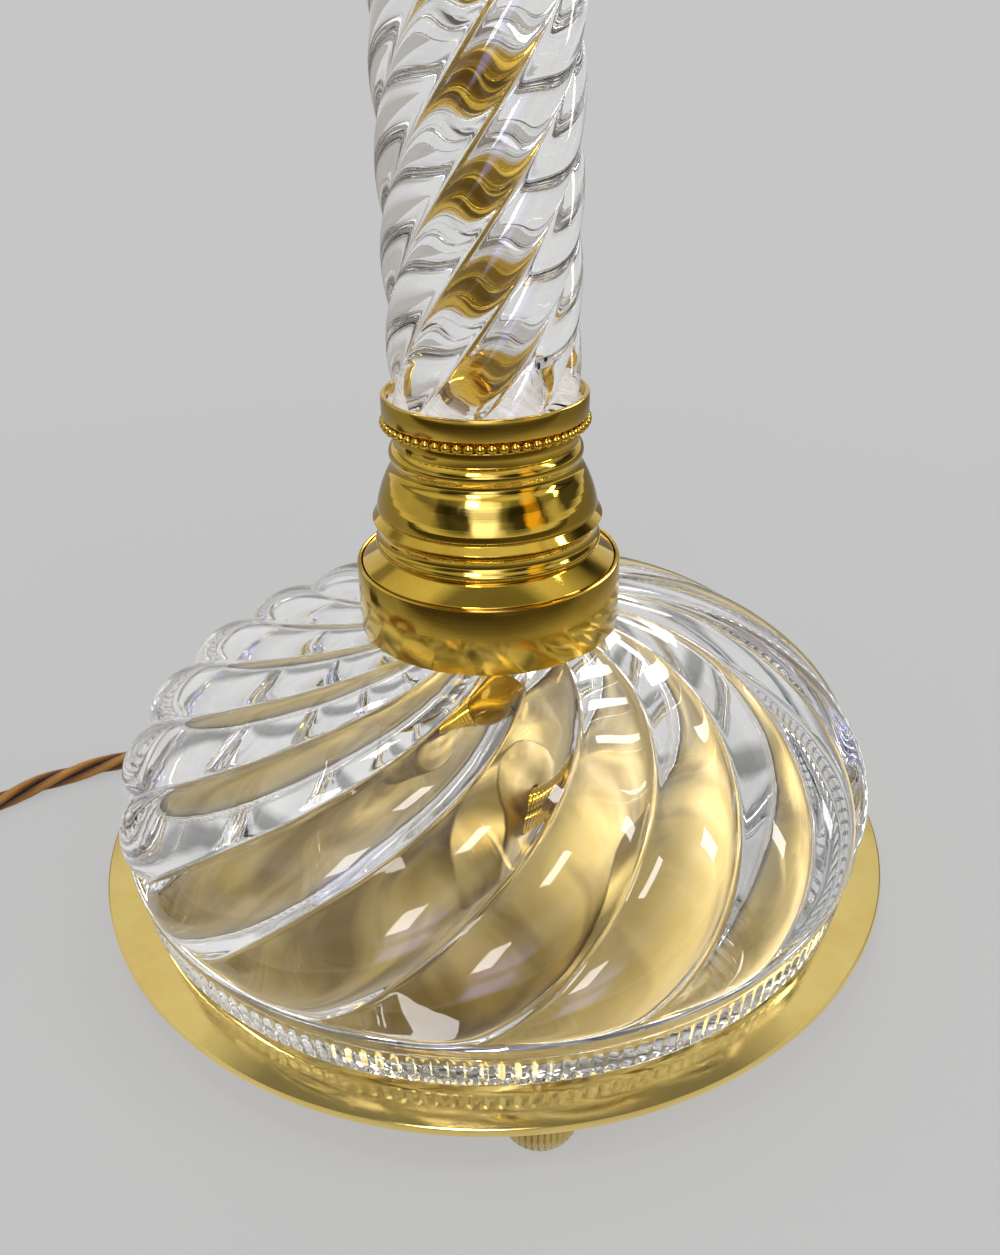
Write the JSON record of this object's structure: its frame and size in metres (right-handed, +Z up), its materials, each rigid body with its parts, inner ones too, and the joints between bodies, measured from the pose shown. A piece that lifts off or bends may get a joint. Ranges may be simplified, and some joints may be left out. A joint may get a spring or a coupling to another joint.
{
  "type": "table lamp",
  "caption": "Table lamp with a twisted clear glass column, a swirl-ribbed glass base on a round brass plate, moulded brass collars, a bayonet lampholder and a coiled silk flex.",
  "frame": {"origin": "on the table, under the middle of the round brass plate", "axes": "+Z up along the column; +Y away from the front of the lamp, +X to its right"},
  "size_m": [0.3457, 0.2, 0.4352],
  "materials": {
    "brass": "polished, slightly tarnished",
    "worn_brass": "dull",
    "clear_glass": "clear, fire-polished",
    "plaster": "matte plaster",
    "steel": "plain",
    "fibre": "matte vulcanised fibre",
    "phenolic": "moulded phenolic",
    "gold_brown_silk": "twisted silk braid",
    "tie_paper": "matte"
  },
  "bodies": {
    "lamp": {"base_plate": "brass", "foot_1": "brass", "foot_2": "brass", "foot_3": "brass", "foot_screw_1": "brass", "foot_screw_2": "brass", "foot_screw_3": "brass", "glass_base": "clear_glass", "glass_gasket": "fibre", "drum_cap": "brass", "drum_plaster": "plaster", "collar": "brass", "lower_cup": "brass", "upper_cup": "brass", "lower_bead_ring": "brass", "upper_bead_ring": "brass", "lower_plaster": "plaster", "upper_plaster": "plaster", "glass_column": "clear_glass", "threaded_tube": "worn_brass", "lower_washer": "steel", "lower_nut": "brass", "upper_nut": "brass", "column_cap": "brass", "neck_spacer": "brass", "lampholder_cap": "brass", "lampholder_barrel": "brass", "insulator": "phenolic", "plunger_spring_1": "steel", "plunger_spring_2": "steel", "terminal_1": "worn_brass", "terminal_2": "worn_brass", "lead_1": "phenolic", "lead_2": "phenolic", "inner_flex": "gold_brown_silk", "cord_clip": "brass", "clip_screw": "steel", "cord": "gold_brown_silk", "cord_coil": "gold_brown_silk", "cord_tail": "gold_brown_silk", "cord_tie": "tie_paper", "plug_cover": "phenolic", "plug_base": "phenolic", "plug_pin_left": "brass", "plug_pin_right": "brass", "plug_pin_earth": "brass", "plug_screw": "steel"},
    "shade_ring": {"shade_ring": "brass"},
    "switch_bar": {"switch_bar": "phenolic"},
    "plunger_1": {"plunger_1": "worn_brass"},
    "plunger_2": {"plunger_2": "worn_brass"}
  },
  "joints": [
    {"name": "shade_ring_travel", "type": "slide", "parent": "lamp", "child": "shade_ring", "axis": [0, 0, 1], "range_m": [0, 0.0165]},
    {"name": "switch_press", "type": "slide", "parent": "lamp", "child": "switch_bar", "axis": [1, 0, 0], "range_m": [-0.003, 0.003]},
    {"name": "plunger_1_press", "type": "slide", "parent": "lamp", "child": "plunger_1", "axis": [0, 0, 1], "range_m": [-0.0025, 0], "stiffness_N_per_m": 600, "springref_m": 0.001, "deforming": ["plunger_spring_1"]},
    {"name": "plunger_2_press", "type": "slide", "parent": "lamp", "child": "plunger_2", "axis": [0, 0, 1], "range_m": [-0.0025, 0], "stiffness_N_per_m": 600, "springref_m": 0.001, "deforming": ["plunger_spring_2"]}
  ]
}
